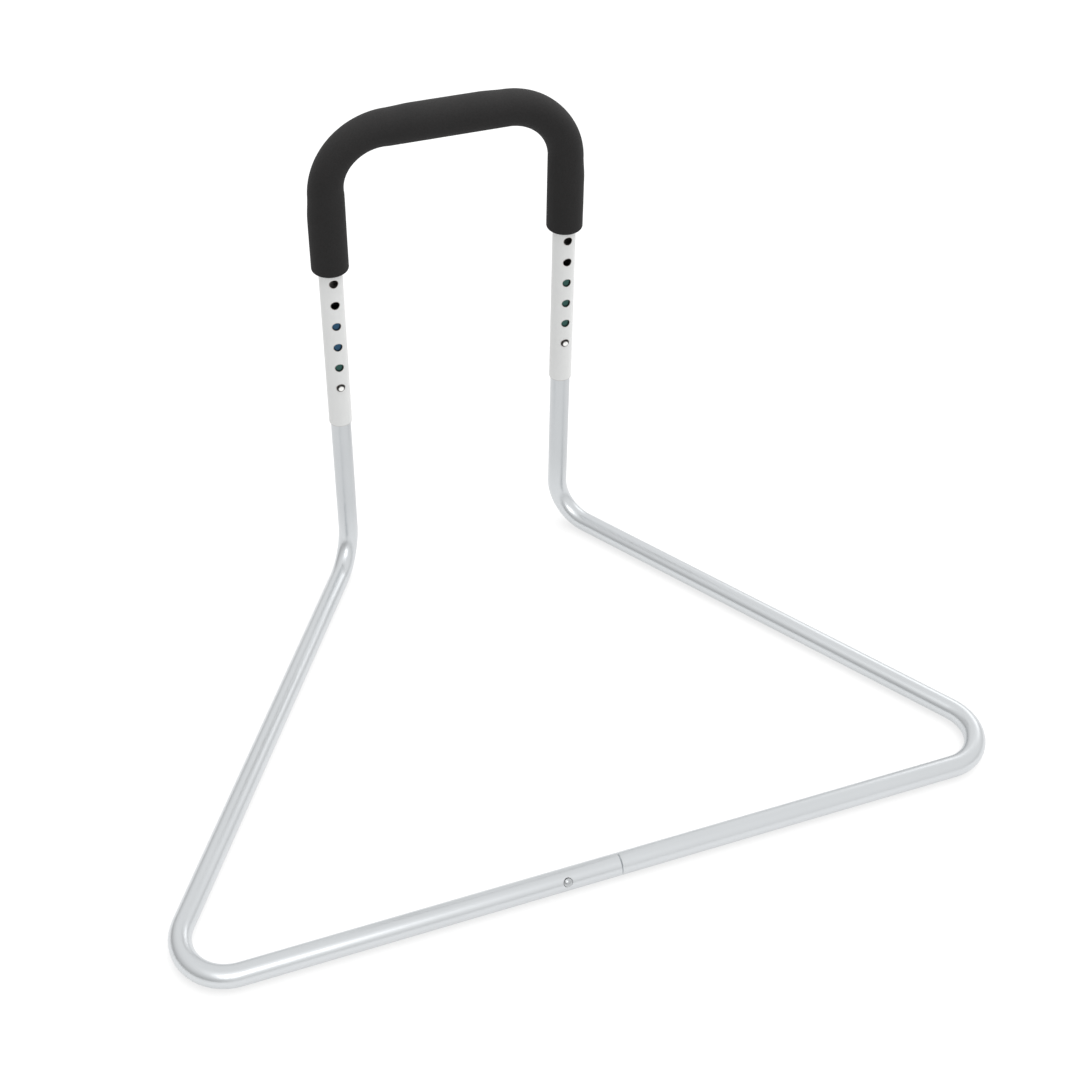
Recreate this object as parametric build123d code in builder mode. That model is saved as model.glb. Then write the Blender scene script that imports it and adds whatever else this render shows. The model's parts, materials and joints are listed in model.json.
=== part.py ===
"""Bed assist rail: a height-adjustable handle on a two-piece tubular base.

Millimetres. +Z is up and +X is the user's right when facing the rail from the front.
The origin is on the floor, under the middle of the rail's overall box. The base reaches
towards -Y, so it slides under a mattress, and the two legs stand at the +Y side.
"""

import os
from math import cos, radians, sin

from build123d import *

# Base frame
leg_spacing = 246.0  # between the centrelines of the two legs
front_width = 870.0  # between the corners of the base, where its centrelines cross
base_depth = 492.0  # from the legs' centreline to the front bar's centreline
leg_bend_radius = 42.0  # centreline radius where a leg turns into the base
corner_radius = 44.0  # centreline radius of the front corners

# Tubes
base_tube_diameter = 21.0
tube_wall = 1.2
telescope_clearance = 0.3  # radial, between a lower leg and the handle tube around it

# Handle, which slides on the two lower legs
hole_pitch = 25.4
hole_count = 6
hole_diameter = 9.0
skirt_below_holes = 50.0  # from the lowest hole down to the end of the handle tube
grip_above_holes = 157.0  # from the highest hole up to the top bar's centreline
grip_bend_radius = 62.0  # centreline radius of the handle's two bends
handle_rim_round = 0.4  # on the outer edge of each end of the handle tube

# Gaps that are left in the lowest setting
gap_under_skirt = 21.5  # from the handle tube's end down to the leg's bend
gap_over_leg = 6.0  # from a lower leg's top up to the handle's bend

# Foam grip
foam_wall = 6.7
foam_clearance = 0.1
foam_end_round = 3.0
foam_above_holes = 11.0  # from the highest hole up to the end of the foam

# Front joint, where the right half's reduced end goes into the left half
joint_clearance = 0.3  # radial
joint_insertion = 80.0
joint_shoulder = 1.5  # length of the cone between the full and the reduced diameter
joint_button_offset = 53.0  # from the joint to its button
joint_button_tilt = 35.0  # degrees that the button leans up from the front

# Snap button and its spring strip
button_clearance = 0.4  # radial, in its hole
button_height = 6.3  # from the strip to the tip
button_dome = 1.8  # height of the rounded tip
rivet_diameter = 3.0
rivet_clearance = 0.05  # radial
rivet_head_diameter = 4.8
rivet_head_height = 0.6
strip_width = 8.0
strip_thickness = 0.8
strip_wall_gap = 0.4  # between the strip's edges and the tube's inner wall
strip_flat_half = 8.0  # from the button to each end of the strip's flat part
strip_length = 36.0  # from the button to the fold
strip_fold_radius = 2.2
strip_knee_radius = 6.0

# Radii that follow from the sizes above
base_radius = base_tube_diameter / 2
base_bore_radius = base_radius - tube_wall
handle_bore_radius = base_radius + telescope_clearance
handle_radius = handle_bore_radius + tube_wall
foam_bore_radius = handle_radius + foam_clearance
foam_radius = foam_bore_radius + foam_wall
joint_radius = base_bore_radius - joint_clearance
joint_bore_radius = joint_radius - tube_wall
hole_radius = hole_diameter / 2
button_radius = hole_radius - button_clearance

# Places that follow from the sizes above, in the highest setting
leg_x = leg_spacing / 2
corner_x = front_width / 2
leg_y = (base_depth + base_radius - foam_radius) / 2
front_y = leg_y - base_depth
floor_level = base_radius  # height of the base's centrelines
height_travel = hole_pitch * (hole_count - 1)
handle_bottom = floor_level + leg_bend_radius + gap_under_skirt + height_travel
lowest_hole_height = handle_bottom + skirt_below_holes
highest_hole_height = lowest_hole_height + height_travel
grip_height = highest_hole_height + grip_above_holes
inner_leg_top = lowest_hole_height + grip_above_holes - grip_bend_radius - gap_over_leg
foam_bottom = highest_hole_height + foam_above_holes

TO_FRONT = Vector(0, -1, 0)
ALONG_LEG = Vector(0, 0, 1)
ALONG_FRONT_BAR = Vector(1, 0, 0)


def hollow_section(plane, outer_radius, bore_radius):
    """Ring-shaped tube section on a plane, ready to be swept."""
    with BuildSketch(plane) as section:
        Circle(outer_radius)
        Circle(bore_radius, mode=Mode.SUBTRACT)
    return section.sketch


def handle_path(bottom):
    """Centreline of the handle, from one end of the U to the other."""
    with BuildLine() as path:
        FilletPolyline(
            (-leg_x, leg_y, bottom),
            (-leg_x, leg_y, grip_height),
            (leg_x, leg_y, grip_height),
            (leg_x, leg_y, bottom),
            radius=grip_bend_radius,
        )
    return path.line


def base_path(side, front_end):
    """Centreline of one half of the base, from the top of its leg to the front bar."""
    with BuildLine() as path:
        FilletPolyline(
            (side * leg_x, leg_y, inner_leg_top),
            (side * leg_x, leg_y, floor_level),
            (side * corner_x, front_y, floor_level),
            (front_end, front_y, floor_level),
            radius=[leg_bend_radius, corner_radius],
        )
    return path.line


def button_place(centre, along, outward):
    """Plane through a tube's axis: its x runs along the tube, its y out through the button."""
    return Plane(origin=centre, x_dir=along, z_dir=along.cross(outward))


def lowest_rims(part, smallest_radius):
    """Circular edges at the bottom of a part that are larger than a radius."""
    rims = part.edges().filter_by(GeomType.CIRCLE).group_by(Axis.Z)[0]
    return rims.filter_by(lambda edge: edge.radius > smallest_radius)


def cut_button_hole(centre, outward, depth):
    """Round hole through one wall of the tube in the current part."""
    with BuildSketch(Plane(origin=centre, z_dir=outward)) as opening:
        Circle(hole_radius)
    extrude(opening.sketch, amount=depth, mode=Mode.SUBTRACT)


def seat_distance(bore_radius):
    """Distance from a tube's axis to the outside of a strip that lies in its bore."""
    reach = bore_radius - strip_wall_gap
    return (reach**2 - (strip_width / 2) ** 2) ** 0.5


# Handle tube
with BuildPart() as handle_tube:
    handle_line = handle_path(handle_bottom)
    sweep(hollow_section(Plane(handle_line @ 0), handle_radius, handle_bore_radius), path=handle_line)
    fillet(lowest_rims(handle_tube, handle_bore_radius), handle_rim_round)
    middle_of_holes = (lowest_hole_height + highest_hole_height) / 2
    with BuildSketch(Plane.XZ.offset(-leg_y)):
        with Locations((0, middle_of_holes)):
            with GridLocations(leg_spacing, hole_pitch, 2, hole_count):
                Circle(hole_radius)
    extrude(amount=2 * handle_radius, mode=Mode.SUBTRACT)

# Foam grip
with BuildPart() as foam_grip:
    foam_line = handle_path(foam_bottom)
    sweep(hollow_section(Plane(foam_line @ 0), foam_radius, foam_bore_radius), path=foam_line)
    fillet(lowest_rims(foam_grip, foam_bore_radius), foam_end_round)

# Where each button sits: the tube's axis at the button, the tube's direction, the button's direction
# and the bore that its spring strip lies in
lean = radians(joint_button_tilt)
button_sites = {
    "left_leg": (
        Vector(-leg_x, leg_y, lowest_hole_height),
        ALONG_LEG,
        TO_FRONT,
        base_bore_radius,
    ),
    "right_leg": (
        Vector(leg_x, leg_y, lowest_hole_height),
        ALONG_LEG,
        TO_FRONT,
        base_bore_radius,
    ),
    "front_joint": (
        Vector(-joint_button_offset, front_y, floor_level),
        ALONG_FRONT_BAR,
        Vector(0, -cos(lean), sin(lean)),
        joint_bore_radius,
    ),
}
joint_centre, _, joint_outward, _ = button_sites["front_joint"]

# Left half of the base
with BuildPart() as base_left_tube:
    left_line = base_path(-1, 0)
    sweep(hollow_section(Plane(left_line @ 0), base_radius, base_bore_radius), path=left_line)
    cut_button_hole(button_sites["left_leg"][0], TO_FRONT, base_tube_diameter)
    cut_button_hole(joint_centre, joint_outward, base_tube_diameter)

# Right half of the base, with its reduced end
with BuildPart() as base_right_tube:
    right_line = base_path(1, joint_shoulder)
    sweep(hollow_section(Plane(right_line @ 0), base_radius, base_bore_radius), path=right_line)
    with BuildSketch(Plane.XY.offset(floor_level)):
        with BuildLine():
            Polyline(
                (joint_shoulder, front_y + base_radius),
                (0, front_y + joint_radius),
                (-joint_insertion, front_y + joint_radius),
                (-joint_insertion, front_y + joint_bore_radius),
                (0, front_y + joint_bore_radius),
                (joint_shoulder, front_y + base_bore_radius),
                close=True,
            )
        make_face()
    revolve(axis=Axis((0, front_y, floor_level), (1, 0, 0)))
    cut_button_hole(button_sites["right_leg"][0], TO_FRONT, base_tube_diameter)
    cut_button_hole(joint_centre, joint_outward, base_tube_diameter)

pieces = {
    "handle_tube": handle_tube,
    "foam_grip": foam_grip,
    "base_left_tube": base_left_tube,
    "base_right_tube": base_right_tube,
}

# Snap buttons and their spring strips
for site_name, (centre, along, outward, bore_radius) in button_sites.items():
    place = button_place(centre, along, outward)
    seat = seat_distance(bore_radius)
    strip_middle = seat - strip_thickness / 2
    tip = seat + button_height
    with BuildPart() as button:
        with BuildSketch(place):
            with BuildLine():
                Polyline(
                    (0, tip),
                    (0, seat - strip_thickness - rivet_head_height),
                    (rivet_head_diameter / 2, seat - strip_thickness - rivet_head_height),
                    (rivet_head_diameter / 2, seat - strip_thickness),
                    (rivet_diameter / 2, seat - strip_thickness),
                    (rivet_diameter / 2, seat),
                    (button_radius, seat),
                    (button_radius, tip - button_dome),
                )
                RadiusArc(
                    (button_radius, tip - button_dome),
                    (0, tip),
                    -(button_radius**2 + button_dome**2) / (2 * button_dome),
                )
            make_face()
        revolve(axis=Axis(centre, outward))
    with BuildPart() as spring:
        with BuildLine(place) as strip_line:
            FilletPolyline(
                (-strip_flat_half, strip_middle),
                (strip_flat_half, strip_middle),
                (strip_length, 0),
                (strip_flat_half, -strip_middle),
                (-strip_flat_half, -strip_middle),
                radius=[strip_knee_radius, strip_fold_radius, strip_knee_radius],
            )
        with BuildSketch(Plane(strip_line.line @ 0, x_dir=outward, z_dir=along)):
            Rectangle(strip_thickness, strip_width)
        sweep(path=strip_line.line)
        with BuildSketch(Plane(origin=centre, z_dir=outward)):
            Circle(rivet_diameter / 2 + rivet_clearance)
        extrude(amount=bore_radius, mode=Mode.SUBTRACT)
    pieces[f"{site_name}_button"] = button
    pieces[f"{site_name}_spring"] = spring

os.makedirs("parts", exist_ok=True)
for node_name, piece in pieces.items():
    piece.part.label = node_name
    export_step(piece.part, f"parts/{node_name}.step")
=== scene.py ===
"""Bed assist rail: a foam-covered handle that slides on a two-piece tubular base.

Every length is in metres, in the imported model's own frame: +Z is up, the base reaches
towards -Y and the two legs stand at the +Y side.
"""

import json
import math

import bpy
from mathutils import Matrix, Vector


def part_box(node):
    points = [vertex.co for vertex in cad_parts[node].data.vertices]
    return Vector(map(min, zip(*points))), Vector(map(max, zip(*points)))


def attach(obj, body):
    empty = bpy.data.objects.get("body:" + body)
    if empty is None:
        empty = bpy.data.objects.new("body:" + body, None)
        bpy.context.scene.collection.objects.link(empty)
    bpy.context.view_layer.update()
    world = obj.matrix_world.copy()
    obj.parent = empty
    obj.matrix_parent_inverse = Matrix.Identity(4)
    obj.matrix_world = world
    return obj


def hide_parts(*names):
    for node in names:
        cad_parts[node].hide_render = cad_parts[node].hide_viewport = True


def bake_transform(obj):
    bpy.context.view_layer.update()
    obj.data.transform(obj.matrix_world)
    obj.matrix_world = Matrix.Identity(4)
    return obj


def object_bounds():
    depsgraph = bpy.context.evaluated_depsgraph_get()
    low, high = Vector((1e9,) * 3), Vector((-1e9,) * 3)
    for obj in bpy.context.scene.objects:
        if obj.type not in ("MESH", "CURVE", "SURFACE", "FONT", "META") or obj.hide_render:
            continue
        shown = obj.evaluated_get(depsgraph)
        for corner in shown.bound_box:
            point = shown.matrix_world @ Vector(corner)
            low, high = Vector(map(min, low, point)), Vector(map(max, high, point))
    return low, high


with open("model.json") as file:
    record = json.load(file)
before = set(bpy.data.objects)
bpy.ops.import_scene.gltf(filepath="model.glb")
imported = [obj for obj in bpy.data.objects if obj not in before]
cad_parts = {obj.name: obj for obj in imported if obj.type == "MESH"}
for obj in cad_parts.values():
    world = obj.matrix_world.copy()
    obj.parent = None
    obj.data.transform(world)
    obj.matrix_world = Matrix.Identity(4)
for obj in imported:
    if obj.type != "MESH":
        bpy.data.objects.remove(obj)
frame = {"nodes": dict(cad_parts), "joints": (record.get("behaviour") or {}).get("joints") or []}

bl_info = {
    "name": "Bed assist rail",
    "version": (1, 0, 0),
    "blender": (4, 5, 0),
    "location": "View3D > Sidebar > Bed Rail",
    "description": "Foam grip, tube finishes, snap buttons and studio for a bed assist rail",
    "category": "Object",
}

MM = 0.001
CAD_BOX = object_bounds()

# Places and radii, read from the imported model
FOAM_LOW, FOAM_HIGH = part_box("foam_grip")
HANDLE_LOW, HANDLE_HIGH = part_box("handle_tube")
LEFT_LOW, LEFT_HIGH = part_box("base_left_tube")
LEG_BUTTON_LOW, LEG_BUTTON_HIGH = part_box("left_leg_button")
FOAM_RADIUS = (FOAM_HIGH.y - FOAM_LOW.y) / 2
HANDLE_RADIUS = (HANDLE_HIGH.y - HANDLE_LOW.y) / 2
LEG_X = HANDLE_HIGH.x - HANDLE_RADIUS
LEG_Y = (HANDLE_HIGH.y + HANDLE_LOW.y) / 2
GRIP_HEIGHT = HANDLE_HIGH.z - HANDLE_RADIUS
HANDLE_BOTTOM = HANDLE_LOW.z
BASE_RADIUS = LEFT_HIGH.y - LEG_Y
FRONT_Y = LEFT_LOW.y + BASE_RADIUS
CORNER_REACH = CAD_BOX[1][0]
LOWEST_HOLE = (LEG_BUTTON_HIGH.z + LEG_BUTTON_LOW.z) / 2
BUTTON_RADIUS = (LEG_BUTTON_HIGH.z - LEG_BUTTON_LOW.z) / 2
HEIGHT_TRAVEL = -min(joint["range_m"][0] for joint in frame["joints"] if joint["name"] == "handle_height")
LOWEST_RIM = HANDLE_BOTTOM - HEIGHT_TRAVEL  # the handle's lower end in its lowest setting
TO_FRONT = Vector((0, -1, 0))

# Fineness of the meshes
SLEEVE_BEND_STEPS = 90
STRIP_BEND_STEPS = 12
STRIP_EDGE_STEPS = 3
SLEEVE_SHARP_ANGLE = math.radians(50)
STRIP_SHARP_ANGLE = math.radians(40)
MERGE_DISTANCE = 2e-6  # joins the sleeve's skin to its bore at both ends
AT_THE_END = 1e-6  # a ring that is nearer than this to the sleeve's end is its last ring

# Tones that the finishes mix in
STRAW = (0.17, 0.13, 0.09)
WORN_BRIGHTENING = 2.1  # worn edges are rubbed brighter than the steel in the bore

# Studio lights: where each softbox hangs, the point that it faces, its two sides and its watts
SOFTBOXES = {
    "front_softbox": ((-0.72, -1.75, 2.0), (-0.3, -0.2, 0), (1.35, 1.35), 10.0),
    "front_sheet": ((-0.7, -0.9, 2.3), (-0.3, -0.2, 0), (1.7, 1.4), 1.8),
    "back_softbox": ((2.0, 1.3, 1.15), (0.38, -0.2, 0), (1.4, 1.1), 3.9),
}
DIFFUSER_DIRECTION = Vector((-0.35, -0.25, -1))
DIFFUSER_SPREAD = math.radians(80)


# ---------------------------------------------------------------- settings


class FoamGripSettings(bpy.types.PropertyGroup):
    bend_radius: bpy.props.FloatProperty(
        name="Bend radius", description="Centreline radius of the two bends of the handle",
        default=62 * MM, min=20 * MM, unit="LENGTH", precision=4)
    bore_clearance: bpy.props.FloatProperty(
        name="Bore clearance", description="Gap between the foam's bore and the tube",
        default=0.1 * MM, min=0, unit="LENGTH", precision=5)
    end_round: bpy.props.FloatProperty(
        name="End round", description="Radius of the rounded rim at each end of the foam",
        default=3 * MM, min=0.1 * MM, unit="LENGTH", precision=4)
    outer_thinning: bpy.props.FloatProperty(
        name="Outer thinning", description="How much thinner the stretched foam is on the outside of a bend",
        default=3.3 * MM, min=0, unit="LENGTH", precision=5)
    left_inner_thinning: bpy.props.FloatProperty(
        name="Left inner thinning", description="How much thinner the foam is on the inside of the left bend",
        default=3 * MM, unit="LENGTH", precision=5)
    right_inner_thinning: bpy.props.FloatProperty(
        name="Right inner thinning",
        description="The same in the right bend, below zero where the foam bunches up",
        default=-1 * MM, unit="LENGTH", precision=5)
    thinning_reach: bpy.props.FloatProperty(
        name="Thinning reach", description="How far the thinning runs on into the straight lengths",
        default=27 * MM, min=1 * MM, unit="LENGTH", precision=4)
    waviness: bpy.props.FloatProperty(
        name="Waviness", description="Depth of the soft undulation of the foam's skin",
        default=0.25 * MM, min=0, unit="LENGTH", precision=5)
    rings: bpy.props.IntProperty(
        name="Rings", description="Cross-sections along the sleeve", default=380, min=60)
    sides: bpy.props.IntProperty(
        name="Sides", description="Points round each cross-section", default=72, min=16)
    colour: bpy.props.FloatVectorProperty(
        name="Colour", description="Charcoal of the foam's skin", subtype="COLOR",
        default=(0.0185, 0.018, 0.018), min=0, max=1)


class TubeFinishSettings(bpy.types.PropertyGroup):
    handle_colour: bpy.props.FloatVectorProperty(
        name="Handle colour", description="Light grey lacquer of the handle tube", subtype="COLOR",
        default=(0.57, 0.575, 0.57), min=0, max=1)
    base_colour: bpy.props.FloatVectorProperty(
        name="Base colour", description="Satin chrome of the base tubes", subtype="COLOR",
        default=(0.625, 0.645, 0.66), min=0, max=1)
    # Painted shade: this steel colour is kept dark in the bores, where it stands in for their shade; rubbed
    # brighter, it also colours the worn edges of the lacquer
    raw_steel_and_shade: bpy.props.FloatVectorProperty(
        name="Raw steel", description="Bare steel in the bore and where the lacquer has worn off",
        subtype="COLOR", default=(0.20, 0.19, 0.18), min=0, max=1)
    # Painted shade: these two dark tints colour the length of each leg inside the handle, in place of the
    # shade there
    painted_shade_blue: bpy.props.FloatVectorProperty(
        name="Grease, blue", description="Bluish tint of the greased length inside the handle",
        subtype="COLOR", default=(0.030, 0.075, 0.13), min=0, max=1)
    painted_shade_green: bpy.props.FloatVectorProperty(
        name="Grease, green", description="Greenish tint of the greased length inside the handle",
        subtype="COLOR", default=(0.035, 0.085, 0.075), min=0, max=1)
    hole_clearance: bpy.props.FloatProperty(
        name="Hole clearance", description="Gap between a button and the hole around it",
        default=0.4 * MM, min=0, unit="LENGTH", precision=5)
    hole_pitch: bpy.props.FloatProperty(
        name="Hole pitch", description="Distance from one height hole to the next",
        default=25.4 * MM, min=5 * MM, unit="LENGTH", precision=4)
    rim_wear: bpy.props.FloatProperty(
        name="Rim wear", description="Width of the worn edge round each hole and each tube end",
        default=0.7 * MM, min=0, unit="LENGTH", precision=5)


class SpringStripSettings(bpy.types.PropertyGroup):
    width: bpy.props.FloatProperty(
        name="Width", description="Width of the spring strip",
        default=8 * MM, min=1 * MM, unit="LENGTH", precision=4)
    thickness: bpy.props.FloatProperty(
        name="Thickness", description="Thickness of the spring strip",
        default=0.8 * MM, min=0.1 * MM, unit="LENGTH", precision=5)
    flat_half: bpy.props.FloatProperty(
        name="Flat half", description="From the button to each end of the strip's flat part",
        default=8 * MM, min=1 * MM, unit="LENGTH", precision=4)
    length: bpy.props.FloatProperty(
        name="Length", description="From the button to the fold",
        default=36 * MM, min=10 * MM, unit="LENGTH", precision=4)
    fold_radius: bpy.props.FloatProperty(
        name="Fold radius", description="Centreline radius of the fold",
        default=2.2 * MM, min=0.5 * MM, unit="LENGTH", precision=5)
    knee_radius: bpy.props.FloatProperty(
        name="Knee radius", description="Centreline radius of the two gentle bends",
        default=6 * MM, min=0.5 * MM, unit="LENGTH", precision=4)
    edge_round: bpy.props.FloatProperty(
        name="Edge round", description="Radius of the strip's tumbled edges",
        default=0.15 * MM, min=0.01 * MM, unit="LENGTH", precision=5)
    colour: bpy.props.FloatVectorProperty(
        name="Colour", description="Blued spring steel", subtype="COLOR",
        default=(0.10, 0.12, 0.16), min=0, max=1)


class ButtonSettings(bpy.types.PropertyGroup):
    # Painted highlight and shade: the leg buttons' bright tip colour is a painted highlight, their dark flank
    # colour painted shade from the hole
    colour: bpy.props.FloatVectorProperty(
        name="Colour", description="Polished steel of the two leg buttons' tips", subtype="COLOR",
        default=(0.86, 0.86, 0.84), min=0, max=1)
    leg_flank_shade_colour: bpy.props.FloatVectorProperty(
        name="Leg flank colour", description="Oil-blackened flank of the two leg buttons", subtype="COLOR",
        default=(0.045, 0.042, 0.04), min=0, max=1)
    front_tip_colour: bpy.props.FloatVectorProperty(
        name="Front tip colour", description="Plated tip of the front joint's button", subtype="COLOR",
        default=(0.46, 0.475, 0.485), min=0, max=1)
    front_flank_colour: bpy.props.FloatVectorProperty(
        name="Front flank colour", description="Plated flank of the front joint's button", subtype="COLOR",
        default=(0.50, 0.515, 0.525), min=0, max=1)
    # Radius of the painted highlight on each button's tip
    highlight_radius: bpy.props.FloatProperty(
        name="Polished radius", description="Radius of the tip that fingers and tube walls keep bright",
        default=2.3 * MM, min=0.1 * MM, unit="LENGTH", precision=5)


class StudioSettings(bpy.types.PropertyGroup):
    camera_place: bpy.props.FloatVectorProperty(
        name="Camera place", description="Where the camera stands", subtype="TRANSLATION",
        default=(-0.4348, -1.1662, 1.3185))
    camera_turn: bpy.props.FloatProperty(
        name="Camera turn", description="How far the camera turns from +Y towards +X",
        subtype="ANGLE", default=math.radians(20.34))
    camera_dip: bpy.props.FloatProperty(
        name="Camera dip", description="How far the camera looks down",
        subtype="ANGLE", default=math.radians(38.13))
    camera_roll: bpy.props.FloatProperty(
        name="Camera roll", description="How far the camera leans to its left",
        subtype="ANGLE", default=math.radians(-0.84))
    lens: bpy.props.FloatProperty(
        name="Lens", description="Focal length on a 36 mm sensor", default=57.61, min=10)
    shift: bpy.props.FloatVectorProperty(
        name="Shift", description="Sideways and upward shift of the lens", size=2,
        default=(0.0107, -0.1061))
    floor_side: bpy.props.FloatProperty(
        name="Floor side", description="Side of the square floor", default=60, min=2, unit="LENGTH")
    floor_colour: bpy.props.FloatVectorProperty(
        name="Floor colour", description="Pale matte floor", subtype="COLOR",
        default=(0.2, 0.2, 0.2), min=0, max=1)
    floor_glow: bpy.props.FloatProperty(
        name="Floor glow", description="Light that the floor gives off, as a light table does",
        default=0.7, min=0)
    tent_light: bpy.props.FloatProperty(
        name="Tent light", description="Brightness of the white tent round the rail", default=1.05, min=0)
    horizon_dip: bpy.props.FloatProperty(
        name="Horizon dip", description="How much darker the tent is where it meets the floor",
        default=0.27, min=0, max=1)
    left_dip: bpy.props.FloatProperty(
        name="Left dip", description="How much darker the tent is at the rail's left, where it is open",
        default=0.42, min=0, max=1)
    overhead_light: bpy.props.FloatProperty(
        name="Overhead light", description="Strength of the wide diffuse light from above",
        default=3.8, min=0)


class RailSettings(bpy.types.PropertyGroup):
    foam: bpy.props.PointerProperty(type=FoamGripSettings)
    tubes: bpy.props.PointerProperty(type=TubeFinishSettings)
    springs: bpy.props.PointerProperty(type=SpringStripSettings)
    buttons: bpy.props.PointerProperty(type=ButtonSettings)
    studio: bpy.props.PointerProperty(type=StudioSettings)


# ---------------------------------------------------------------- node tools


def add_node(tree, kind, inputs=None, **settings):
    """New node in a tree, with its settings, values and links."""
    node = tree.nodes.new(kind)
    for name, value in settings.items():
        setattr(node, name, value)
    for name, value in (inputs or {}).items():
        if isinstance(value, bpy.types.NodeSocket):
            tree.links.new(value, node.inputs[name])
        else:
            node.inputs[name].default_value = value
    return node


def calc(tree, operation, *values):
    """Result of one Math node."""
    return add_node(tree, "ShaderNodeMath", dict(enumerate(values)), operation=operation).outputs[0]


def square(tree, value):
    """A value times itself."""
    return calc(tree, "MULTIPLY", value, value)


def vector_calc(tree, operation, *values, scale=None):
    """Result of one Vector Math node: its vector, or its value for a length or a dot product."""
    inputs = dict(enumerate(values))
    if scale is not None:
        inputs["Scale"] = scale
    node = add_node(tree, "ShaderNodeVectorMath", inputs, operation=operation)
    return node.outputs["Value" if operation in ("DOT_PRODUCT", "LENGTH") else "Vector"]


def fade(tree, value, start, end, low=0.0, high=1.0):
    """Smooth step from low at start to high at end."""
    return add_node(tree, "ShaderNodeMapRange",
                    {"Value": value, "From Min": start, "From Max": end, "To Min": low, "To Max": high},
                    interpolation_type="SMOOTHSTEP").outputs["Result"]


def spread(tree, value, low, high):
    """A value from 0 to 1 stretched to run from low to high."""
    return add_node(tree, "ShaderNodeMapRange",
                    {"Value": value, "To Min": low, "To Max": high}).outputs["Result"]


def blend_colour(tree, factor, first, second):
    """Mix of two colours, each a socket or three numbers."""
    node = add_node(tree, "ShaderNodeMix", {"Factor": factor}, data_type="RGBA")
    for socket, colour in ((node.inputs[6], first), (node.inputs[7], second)):
        if isinstance(colour, bpy.types.NodeSocket):
            tree.links.new(colour, socket)
        else:
            socket.default_value = (*colour, 1)
    return node.outputs[2]


def noise(tree, place, scale, detail=2.0, roughness=0.5):
    """Value of a noise texture, about 0 to 1."""
    texture = add_node(tree, "ShaderNodeTexNoise",
                       {"Vector": place, "Scale": scale, "Detail": detail, "Roughness": roughness})
    return texture.outputs["Fac"]


def new_finish(name):
    """Empty material with its shader, its object coordinates and their three parts."""
    material = bpy.data.materials.new(name)
    material.use_nodes = True
    tree = material.node_tree
    shader = tree.nodes["Principled BSDF"]
    place = add_node(tree, "ShaderNodeTexCoord").outputs["Object"]
    parts = add_node(tree, "ShaderNodeSeparateXYZ", {0: place}).outputs
    return material, tree, shader, place, parts


def finish_bump(tree, shader, height, distance):
    """Relief of a finish, its height in units of distance."""
    bump = add_node(tree, "ShaderNodeBump", {"Height": height, "Distance": distance, "Strength": 1.0})
    tree.links.new(bump.outputs["Normal"], shader.inputs["Normal"])


def leg_distance(tree, parts):
    """Distance from the nearer leg's centreline, with its two level parts."""
    sideways = calc(tree, "SUBTRACT", calc(tree, "ABSOLUTE", parts["X"]), LEG_X)
    forwards = calc(tree, "SUBTRACT", parts["Y"], LEG_Y)
    squares = calc(tree, "ADD", square(tree, sideways), square(tree, forwards))
    return calc(tree, "SQRT", squares), sideways, forwards


def stretched(tree, place, stretch):
    """Coordinates scaled apart along X, Y and Z."""
    return vector_calc(tree, "MULTIPLY", place, stretch)


# ---------------------------------------------------------------- finishes


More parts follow.
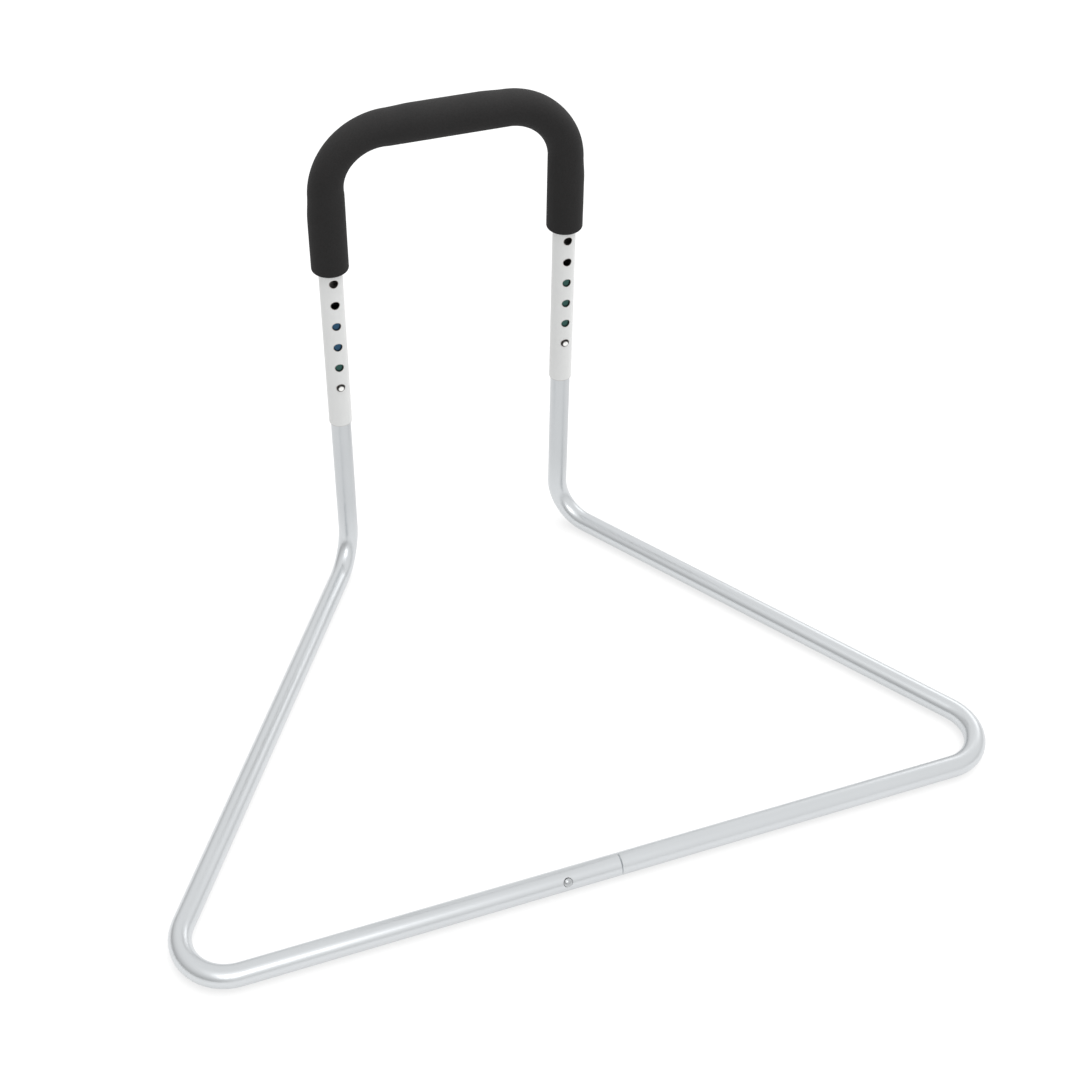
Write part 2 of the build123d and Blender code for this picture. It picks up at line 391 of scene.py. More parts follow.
def lacquer_finish(settings):
    """Light grey lacquer of the handle tube: worn round the holes and at its ends, bare dark steel inside as
    painted shade.
    """
    material, tree, shader, place, parts = new_finish("light_grey_lacquer")
    radius, sideways, forwards = leg_distance(tree, parts)
    hole_radius = BUTTON_RADIUS + settings.hole_clearance

    from_lowest = calc(tree, "SUBTRACT", parts["Z"], LOWEST_HOLE - settings.hole_pitch / 2)
    in_pitch = calc(tree, "SUBTRACT", calc(tree, "FLOORED_MODULO", from_lowest, settings.hole_pitch),
                    settings.hole_pitch / 2)
    to_hole = calc(tree, "SQRT", calc(tree, "ADD", square(tree, sideways), square(tree, in_pitch)))
    above = calc(tree, "GREATER_THAN", from_lowest, 0.0)
    below = calc(tree, "LESS_THAN", from_lowest, HEIGHT_TRAVEL + settings.hole_pitch)
    in_front = calc(tree, "LESS_THAN", forwards, 0.0)
    hole_zone = calc(tree, "MULTIPLY", calc(tree, "MULTIPLY", above, below), in_front)

    chips = noise(tree, place, 900, detail=3)
    chip_depth = settings.rim_wear * 1.2
    end_wear = settings.rim_wear * 1.6
    ragged = calc(tree, "MULTIPLY", calc(tree, "SUBTRACT", chips, 0.5), chip_depth)
    rim = fade(tree, calc(tree, "ADD", to_hole, ragged),
               hole_radius + settings.rim_wear, hole_radius + 0.1 * MM)
    rim = calc(tree, "MULTIPLY", rim, hole_zone)
    end = fade(tree, calc(tree, "ADD", parts["Z"], ragged),
               HANDLE_BOTTOM + end_wear, HANDLE_BOTTOM + 0.2 * MM)
    worn = calc(tree, "MAXIMUM", rim, end)
    # Painted shade: the handle's bore is coloured dark steel
    inside = fade(tree, radius, HANDLE_RADIUS - 0.15 * MM, HANDLE_RADIUS - 0.5 * MM)

    cloud = noise(tree, place, 22, detail=2)
    handled = noise(tree, stretched(tree, place, (1, 1, 0.25)), 160, detail=3)
    tone = spread(tree, cloud, 0.975, 1.025)
    paint = vector_calc(tree, "SCALE", tuple(settings.handle_colour), scale=tone)
    rubbed_steel = tuple(channel * WORN_BRIGHTENING for channel in settings.raw_steel_and_shade)
    worn_colour = blend_colour(tree, worn, paint, rubbed_steel)
    colour = blend_colour(tree, inside, worn_colour, tuple(settings.raw_steel_and_shade))
    tree.links.new(colour, shader.inputs["Base Color"])
    bare = calc(tree, "MAXIMUM", calc(tree, "MULTIPLY", worn, 0.85), calc(tree, "MULTIPLY", inside, 0.9))
    tree.links.new(bare, shader.inputs["Metallic"])
    gloss = spread(tree, handled, 0.36, 0.50)
    rough = calc(tree, "ADD", gloss, calc(tree, "MULTIPLY", worn, 0.06))
    tree.links.new(rough, shader.inputs["Roughness"])
    shader.inputs["Coat Weight"].default_value = 0.12
    shader.inputs["Coat Roughness"].default_value = 0.3

    peel = noise(tree, place, 620, detail=1)
    lost_coat = calc(tree, "MULTIPLY", worn, -1.6)
    finish_bump(tree, shader, calc(tree, "ADD", peel, lost_coat), 0.035 * MM)
    return material


def drawn_lines(tree, place, parts):
    """Fine lines that run along each straight length: legs, side tubes and front bar."""
    across, along = 1100.0, 14.0
    leg_lines = noise(tree, stretched(tree, place, (across, across, along)), 1, detail=2)
    bar_lines = noise(tree, stretched(tree, place, (along, across, across)), 1, detail=2)
    run = Vector((CORNER_REACH - LEG_X, FRONT_Y - LEG_Y)).normalized()
    side_x = calc(tree, "ABSOLUTE", parts["X"])
    side_along = calc(tree, "ADD", calc(tree, "MULTIPLY", side_x, run.x * along),
                      calc(tree, "MULTIPLY", parts["Y"], run.y * along))
    side_across = calc(tree, "SUBTRACT", calc(tree, "MULTIPLY", side_x, run.y * across),
                       calc(tree, "MULTIPLY", parts["Y"], run.x * across))
    side_up = calc(tree, "MULTIPLY", parts["Z"], across)
    side_place = add_node(tree, "ShaderNodeCombineXYZ", {"X": side_along, "Y": side_across, "Z": side_up})
    side_lines = noise(tree, side_place.outputs[0], 1, detail=2)
    on_bar = fade(tree, parts["Y"], FRONT_Y + 3 * BASE_RADIUS, FRONT_Y + BASE_RADIUS)
    on_leg = fade(tree, parts["Z"], 2 * BASE_RADIUS, 4 * BASE_RADIUS)
    lines = add_node(tree, "ShaderNodeMix", {"Factor": on_bar, 2: side_lines, 3: bar_lines}).outputs[0]
    return add_node(tree, "ShaderNodeMix", {"Factor": on_leg, 2: lines, 3: leg_lines}).outputs[0]


def chrome_finish(settings):
    """Satin chrome: rubbed where the handle slides, dull where it lies, with painted shade inside the handle,
    in the bore and more and more up the legs.
    """
    material, tree, shader, place, parts = new_finish("satin_chrome")
    radius, _, _ = leg_distance(tree, parts)
    lines = drawn_lines(tree, place, parts)
    cloud = noise(tree, place, 9, detail=3)
    smear = noise(tree, place, 55, detail=4, roughness=0.6)

    sleeved = fade(tree, parts["Z"], HANDLE_BOTTOM, HANDLE_BOTTOM + 4 * MM)
    rubbed = calc(tree, "MULTIPLY", fade(tree, parts["Z"], LOWEST_RIM, LOWEST_RIM + 40 * MM),
                  fade(tree, radius, BASE_RADIUS + 8 * MM, BASE_RADIUS + 2 * MM))
    underside = fade(tree, parts["Z"], 3.5 * MM, 0.5 * MM)
    bore = calc(tree, "MULTIPLY", fade(tree, radius, BASE_RADIUS - 0.2 * MM, BASE_RADIUS - 0.6 * MM),
                fade(tree, parts["Z"], 4 * BASE_RADIUS, 5 * BASE_RADIUS))

    # Painted shade: the chrome is darkened more and more from the floor up the legs
    leg_shade = fade(tree, parts["Z"], BASE_RADIUS, LOWEST_RIM + 30 * MM)
    leg_shade_loss = calc(tree, "MULTIPLY", leg_shade, 0.15)
    tone = calc(tree, "SUBTRACT", spread(tree, cloud, 0.96, 1.03), leg_shade_loss)
    chrome = vector_calc(tree, "SCALE", tuple(settings.base_colour), scale=tone)
    # Painted shade inside the handle: dark blue high up in the left leg, greener below and in the right leg
    turning_height = LOWEST_HOLE + 1.5 * settings.hole_pitch
    below_turn = calc(tree, "MULTIPLY", calc(tree, "SUBTRACT", turning_height, parts["Z"]), 60.0)
    drift = calc(tree, "ADD", calc(tree, "MULTIPLY", parts["X"], 10.0), below_turn)
    tint = fade(tree, calc(tree, "ADD", drift, noise(tree, place, 38, detail=1)), -1.4, -0.7)
    inside_shade = blend_colour(tree, tint, tuple(settings.painted_shade_blue), tuple(settings.painted_shade_green))
    colour = blend_colour(tree, sleeved, chrome, inside_shade)
    # Painted shade: the bore of the base tubes is coloured dark steel
    colour = blend_colour(tree, bore, colour, tuple(settings.raw_steel_and_shade))
    tree.links.new(colour, shader.inputs["Base Color"])
    shader.inputs["Metallic"].default_value = 1.0

    rough = spread(tree, lines, 0.26, 0.29)
    rough = calc(tree, "ADD", rough, calc(tree, "MULTIPLY", smear, 0.04))
    rough = calc(tree, "ADD", rough, calc(tree, "MULTIPLY", underside, 0.25))
    rough = calc(tree, "ADD", rough, calc(tree, "MULTIPLY", calc(tree, "MULTIPLY", rubbed, lines), 0.06))
    tree.links.new(rough, shader.inputs["Roughness"])
    finish_bump(tree, shader, lines, 0.0008 * MM)
    return material


def foam_finish(settings):
    """Charcoal closed-cell foam: fine pores, cloudy tone, smoother where hands hold the bar, with painted
    shade in the pores' sunken parts.
    """
    material, tree, shader, place, parts = new_finish("charcoal_foam")
    cells = add_node(tree, "ShaderNodeTexVoronoi", {"Vector": place, "Scale": 1500.0},
                     feature="SMOOTH_F1").outputs["Distance"]
    pore_pits_and_shade = fade(tree, cells, 0.15, 0.75)
    grain = noise(tree, place, 420, detail=3, roughness=0.6)
    cloud = noise(tree, place, 16, detail=3)
    held = calc(tree, "MULTIPLY", fade(tree, parts["Z"], GRIP_HEIGHT, GRIP_HEIGHT + FOAM_RADIUS),
                fade(tree, calc(tree, "ABSOLUTE", parts["X"]), LEG_X, LEG_X / 3))

    tone = calc(tree, "MULTIPLY", spread(tree, cloud, 0.86, 1.14), spread(tree, grain, 0.88, 1.12))
    # Painted shade: the foam is darker where the pore pattern sinks in
    tone = calc(tree, "MULTIPLY", tone, spread(tree, pore_pits_and_shade, 1.08, 0.80))
    colour = vector_calc(tree, "SCALE", tuple(settings.colour), scale=tone)
    tree.links.new(colour, shader.inputs["Base Color"])
    rough = calc(tree, "SUBTRACT", spread(tree, grain, 0.72, 0.86), calc(tree, "MULTIPLY", held, 0.12))
    tree.links.new(rough, shader.inputs["Roughness"])
    shader.inputs["Specular IOR Level"].default_value = 0.08
    shader.inputs["Sheen Weight"].default_value = 0.02
    shader.inputs["Sheen Roughness"].default_value = 0.6
    height = calc(tree, "ADD", calc(tree, "MULTIPLY", pore_pits_and_shade, -0.6), grain)
    finish_bump(tree, shader, height, 0.10 * MM)
    return material


def button_finish(name, settings, tip_colour, flank_colour, centre, outward):
    """Steel button: one colour on the tip, another on the flank that stays in its hole. On the leg buttons
    the bright tip is a painted highlight and the dark flank painted shade.
    """
    material, tree, shader, place, _ = new_finish(name)
    offset = vector_calc(tree, "SUBTRACT", place, tuple(centre))
    along = vector_calc(tree, "DOT_PRODUCT", offset, tuple(outward))
    length = vector_calc(tree, "LENGTH", offset)
    squares = calc(tree, "SUBTRACT", square(tree, length), square(tree, along))
    aside = calc(tree, "SQRT", calc(tree, "MAXIMUM", squares, 0.0))
    grain = noise(tree, place, 1400, detail=2)
    edge = calc(tree, "ADD", aside, calc(tree, "MULTIPLY", calc(tree, "SUBTRACT", grain, 0.5), 0.8 * MM))
    # Tip colour within the painted highlight's radius, flank colour beyond it
    tip = fade(tree, edge, settings.highlight_radius + 0.9 * MM, settings.highlight_radius)
    colour = blend_colour(tree, tip, tuple(flank_colour), tuple(tip_colour))
    tree.links.new(colour, shader.inputs["Base Color"])
    shader.inputs["Metallic"].default_value = 1.0
    tree.links.new(spread(tree, grain, 0.20, 0.34), shader.inputs["Roughness"])
    finish_bump(tree, shader, grain, 0.01 * MM)
    return material


def spring_finish(settings):
    """Blued spring steel with straw tones in scattered patches."""
    material, tree, shader, place, _ = new_finish("blued_spring_steel")
    heat = noise(tree, place, 120, detail=2)
    colour = blend_colour(tree, fade(tree, heat, 0.45, 0.7), tuple(settings.colour), STRAW)
    tree.links.new(colour, shader.inputs["Base Color"])
    shader.inputs["Metallic"].default_value = 1.0
    tree.links.new(spread(tree, heat, 0.28, 0.42), shader.inputs["Roughness"])
    finish_bump(tree, shader, noise(tree, place, 1500, detail=2), 0.006 * MM)
    return material


def floor_finish(settings):
    """Pale matte floor with a barely visible mottle, which glows like a light table."""
    material, tree, shader, place, _ = new_finish("pale_floor")
    tone = spread(tree, noise(tree, place, 3, detail=3), 0.995, 1.005)
    colour = vector_calc(tree, "SCALE", tuple(settings.floor_colour), scale=tone)
    tree.links.new(colour, shader.inputs["Base Color"])
    shader.inputs["Roughness"].default_value = 0.9
    shader.inputs["Specular IOR Level"].default_value = 0.1
    shader.inputs["Emission Color"].default_value = (1, 1, 1, 1)
    shader.inputs["Emission Strength"].default_value = settings.floor_glow
    return material


def dress(node_name, material):
    """Gives a CAD node its finish."""
    for slot in frame["nodes"][node_name].material_slots:
        slot.material = material


# ---------------------------------------------------------------- geometry


def path_object(name, points, radii):
    """Bare polyline whose corners each carry the radius that they are rounded to."""
    mesh = bpy.data.meshes.new(name)
    mesh.from_pydata(points, [(i, i + 1) for i in range(len(points) - 1)], [])
    mesh.attributes.new("corner_radius", "FLOAT", "POINT").data.foreach_set("value", radii)
    piece = bpy.data.objects.new(name, mesh)
    bpy.context.scene.collection.objects.link(piece)
    return piece


def new_geometry_tree(name, numbers, counts=(), directions=()):
    """Geometry Nodes tree with a mesh, named sizes and a material going in and a mesh coming out."""
    tree = bpy.data.node_groups.new(name, "GeometryNodeTree")
    tree.interface.new_socket("Geometry", in_out="INPUT", socket_type="NodeSocketGeometry")
    tree.interface.new_socket("Geometry", in_out="OUTPUT", socket_type="NodeSocketGeometry")
    for label in numbers:
        socket = tree.interface.new_socket(label, in_out="INPUT", socket_type="NodeSocketFloat")
        socket.subtype = "DISTANCE"
    for label in counts:
        tree.interface.new_socket(label, in_out="INPUT", socket_type="NodeSocketInt")
    for label in directions:
        tree.interface.new_socket(label, in_out="INPUT", socket_type="NodeSocketVector")
    tree.interface.new_socket("Finish", in_out="INPUT", socket_type="NodeSocketMaterial")
    return tree, tree.nodes.new("NodeGroupInput").outputs


def end_geometry_tree(tree, geometry, finish):
    """Realised, smooth, finished result of a Geometry Nodes tree."""
    real = add_node(tree, "GeometryNodeRealizeInstances", {"Geometry": geometry})
    smooth = add_node(tree, "GeometryNodeSetShadeSmooth", {"Geometry": real.outputs[0]})
    dressed = add_node(tree, "GeometryNodeSetMaterial", {"Geometry": smooth.outputs[0], "Material": finish})
    add_node(tree, "NodeGroupOutput", {"Geometry": dressed.outputs[0]})


def grow(piece, tree, values, sharp_angle):
    """Runs a tree on a piece and leaves its result as a plain mesh."""
    modifier = piece.modifiers.new(tree.name, "NODES")
    modifier.node_group = tree
    for item in tree.interface.items_tree:
        if item.in_out == "INPUT" and item.name in values:
            modifier[item.identifier] = values[item.name]
    depsgraph = bpy.context.evaluated_depsgraph_get()
    mesh = bpy.data.meshes.new_from_object(piece.evaluated_get(depsgraph), depsgraph=depsgraph)
    piece.modifiers.remove(modifier)
    if not mesh.polygons:
        raise RuntimeError(f"{tree.name} made no faces for {piece.name}")
    mesh.materials.clear()
    mesh.materials.append(values["Finish"])
    mesh.set_sharp_from_angle(angle=sharp_angle)
    mesh.name = piece.name
    piece.data = mesh


def rounded_path(tree, bare_path, steps):
    """Curve along a bare path, with each corner rounded to its own radius."""
    corner = add_node(tree, "GeometryNodeInputNamedAttribute", {"Name": "corner_radius"}, data_type="FLOAT")
    rough_path = add_node(tree, "GeometryNodeMeshToCurve", {"Mesh": bare_path}).outputs[0]
    rounded = add_node(tree, "GeometryNodeFilletCurve",
                       {"Curve": rough_path, "Count": steps, "Radius": corner.outputs[0]}, mode="POLY")
    return rounded.outputs[0]


def sleeve_tree():
    """Foam sleeve along a path: rounded ends, an open bore, thinner where the bends stretch it."""
    tree, given = new_geometry_tree(
        "foam_sleeve",
        ["Bend Radius", "Outer Radius", "Bore Radius", "End Round", "Outer Thinning", "Left Inner Thinning",
         "Right Inner Thinning", "Thinning Reach", "Straight Leg", "Waviness"],
        ["Rings", "Sides"])
    path = rounded_path(tree, given["Geometry"], SLEEVE_BEND_STEPS)
    length = add_node(tree, "GeometryNodeCurveLength", {"Curve": path}).outputs[0]

    # Rings crowd together towards the two ends, so that the rounded rims are smooth
    last = calc(tree, "SUBTRACT", given["Rings"], 1.0)
    share = calc(tree, "DIVIDE", add_node(tree, "GeometryNodeInputIndex").outputs[0], last)
    along = calc(tree, "MULTIPLY", fade(tree, share, 0.0, 1.0), length)
    sample = add_node(tree, "GeometryNodeSampleCurve", {"Curves": path, "Length": along},
                      mode="LENGTH", use_all_curves=True)
    line = add_node(tree, "GeometryNodeMeshLine", {"Count": given["Rings"]})
    placed = add_node(tree, "GeometryNodeSetPosition",
                      {"Geometry": line.outputs[0], "Position": sample.outputs["Position"]})

    # How much a bend stretches the foam at each ring: most at mid-bend, fading out along the straights
    to_end = calc(tree, "MINIMUM", along, calc(tree, "SUBTRACT", length, along))
    past_leg = calc(tree, "SUBTRACT", to_end, given["Straight Leg"])
    bend_length = calc(tree, "MULTIPLY", given["Bend Radius"], math.pi / 2)
    angle = calc(tree, "DIVIDE", past_leg, given["Bend Radius"])
    in_bend = calc(tree, "MULTIPLY", calc(tree, "GREATER_THAN", past_leg, 0.0),
                   calc(tree, "LESS_THAN", past_leg, bend_length))
    swell = calc(tree, "MULTIPLY", calc(tree, "SINE", calc(tree, "MULTIPLY", angle, 2.0)), in_bend)
    before = calc(tree, "MULTIPLY", past_leg, -1.0)
    after = calc(tree, "SUBTRACT", past_leg, bend_length)
    outside = calc(tree, "MAXIMUM", before, after)
    settling = fade(tree, outside, given["Thinning Reach"], 0.0)
    stretch = calc(tree, "MULTIPLY", calc(tree, "ADD", settling, swell), 0.5)

    capture = add_node(tree, "GeometryNodeCaptureAttribute", {"Geometry": placed.outputs[0]})
    for kind, label in (("VECTOR", "Centre"), ("VECTOR", "Outward"), ("FLOAT", "Stretch"), ("FLOAT", "Swell"),
                        ("FLOAT", "To End")):
        capture.capture_items.new(kind, label)
    outward = vector_calc(tree, "CROSS_PRODUCT", sample.outputs["Tangent"], (0.0, 1.0, 0.0))
    for label, source in (("Centre", sample.outputs["Position"]), ("Outward", outward),
                          ("Stretch", stretch), ("Swell", swell), ("To End", to_end)):
        tree.links.new(source, capture.inputs[label])
    curve = add_node(tree, "GeometryNodeMeshToCurve", {"Mesh": capture.outputs["Geometry"]}).outputs[0]

    # Radius of the skin: the rim is a quarter circle, and the very first ring closes on the bore
    into_rim = calc(tree, "SUBTRACT", given["End Round"],
                    calc(tree, "MINIMUM", capture.outputs["To End"], given["End Round"]))
    squares = calc(tree, "SUBTRACT", square(tree, given["End Round"]), square(tree, into_rim))
    rise = calc(tree, "SQRT", squares)
    rim_radius = calc(tree, "ADD", calc(tree, "SUBTRACT", given["Outer Radius"], given["End Round"]), rise)
    off_end = calc(tree, "GREATER_THAN", capture.outputs["To End"], AT_THE_END)
    skin_depth = calc(tree, "MULTIPLY", off_end, calc(tree, "SUBTRACT", rim_radius, given["Bore Radius"]))
    skin_radius = calc(tree, "ADD", given["Bore Radius"], skin_depth)
    circle = add_node(tree, "GeometryNodeCurvePrimitiveCircle", {"Resolution": given["Sides"], "Radius": 1.0})
    skin = add_node(tree, "GeometryNodeCurveToMesh",
                    {"Curve": curve, "Profile Curve": circle.outputs[0], "Scale": skin_radius}).outputs[0]
    bore = add_node(tree, "GeometryNodeCurveToMesh",
                    {"Curve": curve, "Profile Curve": circle.outputs[0], "Scale": given["Bore Radius"]})
    bore = add_node(tree, "GeometryNodeFlipFaces", {"Mesh": bore.outputs[0]}).outputs[0]

    # Each bend loses foam on its stretched side and gains or loses some on its inner side. The skin
    # undulates a little, except at the rims.
    here = add_node(tree, "GeometryNodeInputPosition").outputs[0]
    spoke = vector_calc(tree, "NORMALIZE", vector_calc(tree, "SUBTRACT", here, capture.outputs["Centre"]))
    facing = vector_calc(tree, "DOT_PRODUCT", spoke, capture.outputs["Outward"])
    outer_side = calc(tree, "MAXIMUM", facing, 0.0)
    inner_side = calc(tree, "MAXIMUM", calc(tree, "MULTIPLY", facing, -1.0), 0.0)
    outer_share = calc(tree, "MULTIPLY", square(tree, outer_side), capture.outputs["Stretch"])
    outer_loss = calc(tree, "MULTIPLY", outer_share, given["Outer Thinning"])
    here_x = add_node(tree, "ShaderNodeSeparateXYZ", {0: here}).outputs["X"]
    on_right = calc(tree, "GREATER_THAN", here_x, 0.0)
    inner_thinning = add_node(tree, "ShaderNodeMix", {"Factor": on_right, 2: given["Left Inner Thinning"],
                                                      3: given["Right Inner Thinning"]}).outputs[0]
    inner_share = calc(tree, "MULTIPLY", square(tree, inner_side), capture.outputs["Swell"])
    inner_loss = calc(tree, "MULTIPLY", inner_share, inner_thinning)
    loss = calc(tree, "ADD", outer_loss, inner_loss)
    wave = calc(tree, "MULTIPLY", noise(tree, here, 28, detail=1), given["Waviness"])
    away_from_end = fade(tree, capture.outputs["To End"], 0.0, given["End Round"])
    wave = calc(tree, "MULTIPLY", wave, away_from_end)
    inwards = calc(tree, "MULTIPLY", calc(tree, "ADD", loss, wave), -1.0)
    shaped = add_node(tree, "GeometryNodeSetPosition",
                      {"Geometry": skin, "Offset": vector_calc(tree, "SCALE", spoke, scale=inwards)})
    both = add_node(tree, "GeometryNodeJoinGeometry")
    tree.links.new(shaped.outputs[0], both.inputs[0])
    tree.links.new(bore, both.inputs[0])
    closed = add_node(tree, "GeometryNodeMergeByDistance",
                      {"Geometry": both.outputs[0], "Distance": MERGE_DISTANCE})
    end_geometry_tree(tree, closed.outputs[0], given["Finish"])
    return tree


def strip_tree():
    """Flat strip with softened edges along a path, which stays at right angles to its width."""
    tree, given = new_geometry_tree("spring_strip", ["Width", "Thickness", "Edge Round"], ["Steps"],
                                    ["Width Axis"])
    path = rounded_path(tree, given["Geometry"], given["Steps"])
    path = add_node(tree, "GeometryNodeSetCurveNormal", {"Curve": path, "Normal": given["Width Axis"]},
                    mode="FREE").outputs[0]
    section = add_node(tree, "GeometryNodeCurvePrimitiveQuadrilateral",
                       {"Width": given["Width"], "Height": given["Thickness"]}).outputs[0]
    section = add_node(tree, "GeometryNodeFilletCurve",
                       {"Curve": section, "Count": STRIP_EDGE_STEPS, "Radius": given["Edge Round"]},
                       mode="POLY").outputs[0]
    strip = add_node(tree, "GeometryNodeCurveToMesh",
                     {"Curve": path, "Profile Curve": section, "Fill Caps": True}).outputs[0]
    end_geometry_tree(tree, strip, given["Finish"])
    return tree


# ---------------------------------------------------------------- operators


class MakeFoamGrip(bpy.types.Operator):
    """Foam sleeve over the top bar, both bends and the upper part of both legs"""

    bl_idname = "bed_rail.make_foam_grip"
    bl_label = "Foam Grip"

    def execute(self, context):
        settings = context.scene.bed_rail.foam
        corners = [
            (-LEG_X, LEG_Y, FOAM_LOW.z),
            (-LEG_X, LEG_Y, GRIP_HEIGHT),
            (LEG_X, LEG_Y, GRIP_HEIGHT),
            (LEG_X, LEG_Y, FOAM_LOW.z),
        ]
        grip = path_object("foam_sleeve", corners, [0.0, settings.bend_radius, settings.bend_radius, 0.0])
        values = {
            "Bend Radius": settings.bend_radius,
            "Outer Radius": FOAM_RADIUS,
            "Bore Radius": HANDLE_RADIUS + settings.bore_clearance,
            "End Round": settings.end_round,
            "Outer Thinning": settings.outer_thinning,
            "Left Inner Thinning": settings.left_inner_thinning,
            "Right Inner Thinning": settings.right_inner_thinning,
            "Thinning Reach": settings.thinning_reach,
            "Straight Leg": GRIP_HEIGHT - settings.bend_radius - FOAM_LOW.z,
            "Waviness": settings.waviness,
            "Rings": settings.rings,
            "Sides": settings.sides,
            "Finish": foam_finish(settings),
        }
        grow(grip, sleeve_tree(), values, SLEEVE_SHARP_ANGLE)
        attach(grip, "handle")
        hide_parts("foam_grip")
        return {"FINISHED"}


class DressHandleTube(bpy.types.Operator):
    """Lacquer on the tube that the foam covers"""

    bl_idname = "bed_rail.dress_handle_tube"
    bl_label = "Handle Tube"

    def execute(self, context):
        dress("handle_tube", lacquer_finish(context.scene.bed_rail.tubes))
        return {"FINISHED"}


class DressBaseTubes(bpy.types.Operator):
    """Chrome on both halves of the base"""

    bl_idname = "bed_rail.dress_base_tubes"
    bl_label = "Base Tubes"

    def execute(self, context):
        chrome = chrome_finish(context.scene.bed_rail.tubes)
        for node_name in ("base_left_tube", "base_right_tube"):
            dress(node_name, chrome)
        return {"FINISHED"}


def button_sites():
    """Each snap button's name, body, axis point in its tube, outward direction and tube direction."""
    front_low, front_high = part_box("front_joint_button")
    front_middle = (front_low + front_high) / 2
    front_axis = Vector(next(j["axis"] for j in frame["joints"] if j["name"] == "front_button_press"))
    front_centre = Vector((front_middle.x, FRONT_Y, BASE_RADIUS))
    return [
        ("left_leg", "left_button", Vector((-LEG_X, LEG_Y, LOWEST_HOLE)), TO_FRONT, Vector((0, 0, 1))),
        ("right_leg", "right_button", Vector((LEG_X, LEG_Y, LOWEST_HOLE)), TO_FRONT, Vector((0, 0, 1))),
        ("front_joint", "front_button", front_centre, -front_axis, Vector((1, 0, 0))),
    ]


class DressSnapButtons(bpy.types.Operator):
    """Steel of the three snap buttons"""

    bl_idname = "bed_rail.dress_snap_buttons"
    bl_label = "Snap Buttons"

    def execute(self, context):
        settings = context.scene.bed_rail.buttons
        for site, _, centre, outward, _ in button_sites():
            # Leg buttons: painted highlight on the tip, painted shade on the flank
            tip, flank = settings.colour, settings.leg_flank_shade_colour
            if site == "front_joint":
                tip, flank = settings.front_tip_colour, settings.front_flank_colour
            steel = button_finish(f"{site}_button_steel", settings, tip, flank, centre, outward)
            dress(f"{site}_button", steel)
        return {"FINISHED"}


class MakeSpringStrips(bpy.types.Operator):
    """Folded spring strip behind each snap button"""

    bl_idname = "bed_rail.make_spring_strips"
    bl_label = "Spring Strips"

    def execute(self, context):
        settings = context.scene.bed_rail.springs
        tree = strip_tree()
        finish = spring_finish(settings)
        for site, button_body, centre, outward, along in button_sites():
            low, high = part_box(f"{site}_spring")
            leaning_width = settings.width / 2 * abs(outward.z)
            outside = ((high.y - low.y) / 2 - leaning_width) / abs(outward.y)
            reach = outside - settings.thickness / 2
            points = [
                centre + along * step + outward * lift
                for step, lift in (
                    (-settings.flat_half, reach),
                    (settings.flat_half, reach),
                    (settings.length, 0),
                    (settings.flat_half, -reach),
                    (-settings.flat_half, -reach),
                )
            ]
            radii = [0.0, settings.knee_radius, settings.fold_radius, settings.knee_radius, 0.0]
            strip = path_object(f"{site}_strip", points, radii)
            values = {"Width": settings.width, "Thickness": settings.thickness,
                      "Edge Round": settings.edge_round, "Steps": STRIP_BEND_STEPS,
                      "Width Axis": tuple(along.cross(outward)), "Finish": finish}
            grow(strip, tree, values, STRIP_SHARP_ANGLE)
            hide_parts(f"{site}_spring")
            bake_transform(strip)
        return {"FINISHED"}


class SetUpStudio(bpy.types.Operator):
    """Pale floor, soft lights and the camera"""

    bl_idname = "bed_rail.set_up_studio"
    bl_label = "Studio"

    def execute(self, context):
        settings = context.scene.bed_rail.studio
        lay_floor(settings)
        pitch_tent(settings)
        hang_diffuser(settings)
        for name, (place, target, size, watts) in SOFTBOXES.items():
            hang_softbox(name, place, target, size, watts)
        place_camera(settings)
        context.scene.view_settings.view_transform = "Standard"
        return {"FINISHED"}


def lay_floor(settings):
    """Square floor under the whole rail."""
    half = settings.floor_side / 2
    mesh = bpy.data.meshes.new("floor")
    corners = [(-half, -half, 0), (half, -half, 0), (half, half, 0), (-half, half, 0)]
    mesh.from_pydata(corners, [], [(0, 1, 2, 3)])
    mesh.materials.append(floor_finish(settings))
    floor = bpy.data.objects.new("floor", mesh)
    bpy.context.scene.collection.objects.link(floor)


def pitch_tent(settings):
    """White tent, darker where it meets the floor and towards its left side, most of all low down."""
    world = bpy.data.worlds.new("studio")
    bpy.context.scene.world = world
    world.use_nodes = True
    tree = world.node_tree
    direction = add_node(tree, "ShaderNodeTexCoord").outputs["Generated"]
    parts = add_node(tree, "ShaderNodeSeparateXYZ", {0: direction}).outputs
    horizon = fade(tree, parts["Z"], 0.4, 0.0, 1.0, 1.0 - settings.horizon_dip)
    on_left = calc(tree, "MULTIPLY", fade(tree, parts["X"], 0.0, -0.75), fade(tree, parts["Z"], 0.95, 0.1))
    opening = spread(tree, on_left, 1.0, 1.0 - settings.left_dip)
    brightness = calc(tree, "MULTIPLY", settings.tent_light, calc(tree, "MULTIPLY", horizon, opening))
    background = tree.nodes["Background"]
    background.inputs["Color"].default_value = (1, 1, 1, 1)
    tree.links.new(brightness, background.inputs["Strength"])


def hang_diffuser(settings):
    """Wide soft light from above, which adds shape to matte surfaces and no reflection to the chrome."""
    lamp = bpy.data.lights.new("overhead_diffuser", "SUN")
    lamp.energy = settings.overhead_light
    lamp.angle = DIFFUSER_SPREAD
    holder = bpy.data.objects.new("overhead_diffuser", lamp)
    holder.rotation_euler = DIFFUSER_DIRECTION.to_track_quat("-Z", "Y").to_euler()
    holder.visible_glossy = False
    bpy.context.scene.collection.objects.link(holder)


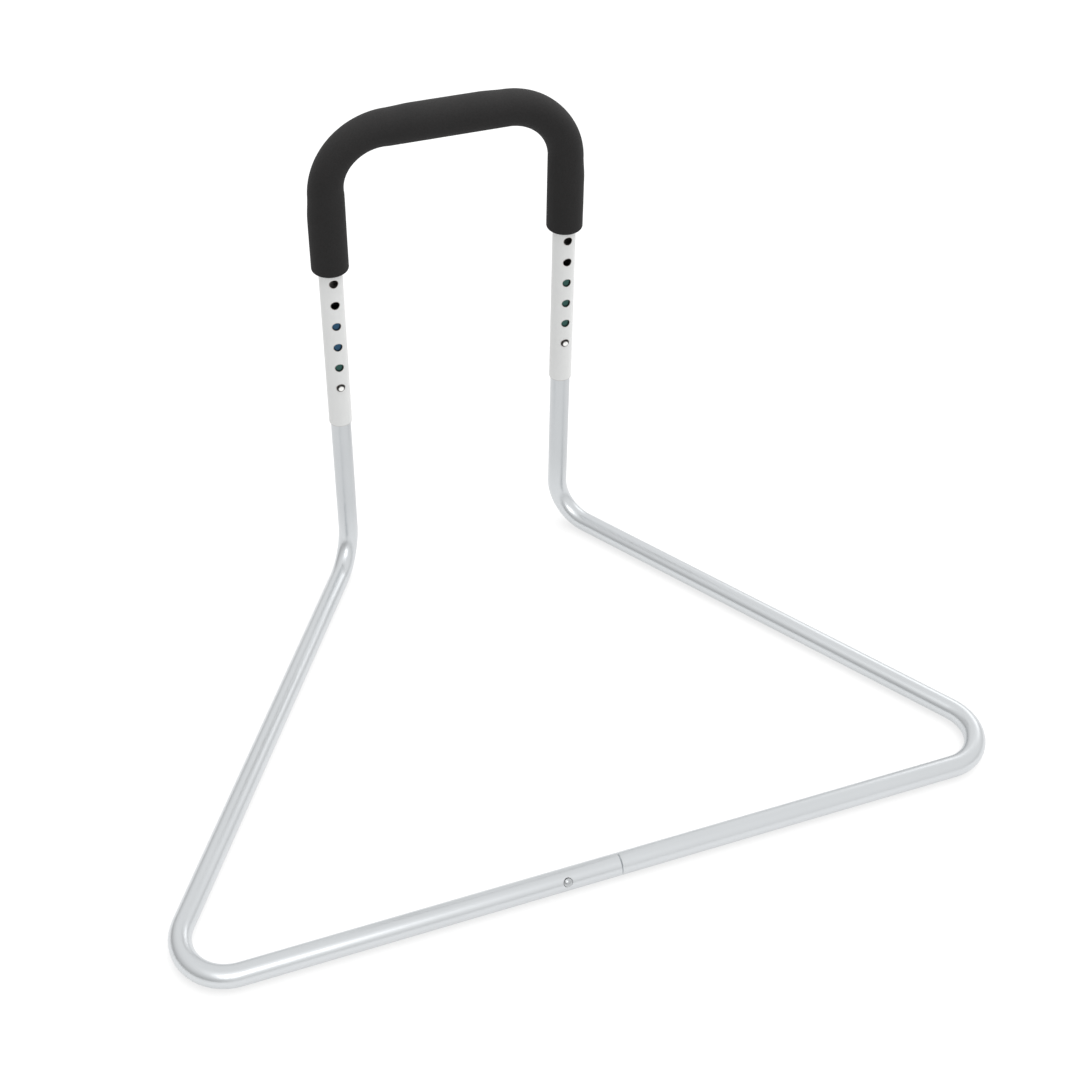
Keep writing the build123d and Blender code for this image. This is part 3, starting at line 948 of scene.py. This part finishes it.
def hang_softbox(name, place, target, size, watts):
    """Rectangular soft light that faces a target."""
    lamp = bpy.data.lights.new(name, "AREA")
    lamp.shape = "RECTANGLE"
    lamp.size, lamp.size_y = size
    lamp.energy = watts
    holder = bpy.data.objects.new(name, lamp)
    holder.location = place
    holder.rotation_euler = (Vector(target) - Vector(place)).to_track_quat("-Z", "Y").to_euler()
    holder.visible_camera = False
    bpy.context.scene.collection.objects.link(holder)


def place_camera(settings):
    """Camera that stands at the left front corner and looks down on the rail."""
    turn, dip, roll = settings.camera_turn, settings.camera_dip, settings.camera_roll
    forward = Vector((math.sin(turn) * math.cos(dip), math.cos(turn) * math.cos(dip), -math.sin(dip)))
    level = Vector((math.cos(turn), -math.sin(turn), 0))
    down = forward.cross(level)
    right = level * math.cos(roll) + down * math.sin(roll)
    up = level * math.sin(roll) - down * math.cos(roll)
    data = bpy.data.cameras.new("camera")
    data.lens = settings.lens
    data.shift_x, data.shift_y = settings.shift
    camera = bpy.data.objects.new("camera", data)
    facing = Matrix((right, up, -forward)).transposed().to_4x4()
    camera.matrix_world = Matrix.Translation(settings.camera_place) @ facing
    bpy.context.scene.collection.objects.link(camera)
    bpy.context.scene.camera = camera


# ---------------------------------------------------------------- panel and registration


OPERATORS = (SetUpStudio, DressHandleTube, DressBaseTubes, MakeFoamGrip, DressSnapButtons, MakeSpringStrips)


class RailPanel(bpy.types.Panel):
    """Lists the operators that build the rail"""

    bl_idname = "VIEW3D_PT_bed_rail"
    bl_label = "Bed Assist Rail"
    bl_space_type = "VIEW_3D"
    bl_region_type = "UI"
    bl_category = "Bed Rail"

    def draw(self, context):
        for operator in OPERATORS:
            self.layout.operator(operator.bl_idname)


CLASSES = (FoamGripSettings, TubeFinishSettings, SpringStripSettings, ButtonSettings, StudioSettings,
           RailSettings, *OPERATORS, RailPanel)


def register():
    for cls in CLASSES:
        bpy.utils.register_class(cls)
    bpy.types.Scene.bed_rail = bpy.props.PointerProperty(type=RailSettings)


def unregister():
    del bpy.types.Scene.bed_rail
    for cls in reversed(CLASSES):
        bpy.utils.unregister_class(cls)


def main():
    register()
    bpy.ops.bed_rail.set_up_studio()
    bpy.ops.bed_rail.dress_handle_tube()
    bpy.ops.bed_rail.dress_base_tubes()
    bpy.ops.bed_rail.make_foam_grip()
    bpy.ops.bed_rail.dress_snap_buttons()
    bpy.ops.bed_rail.make_spring_strips()


if __name__ == "__main__":
    main()
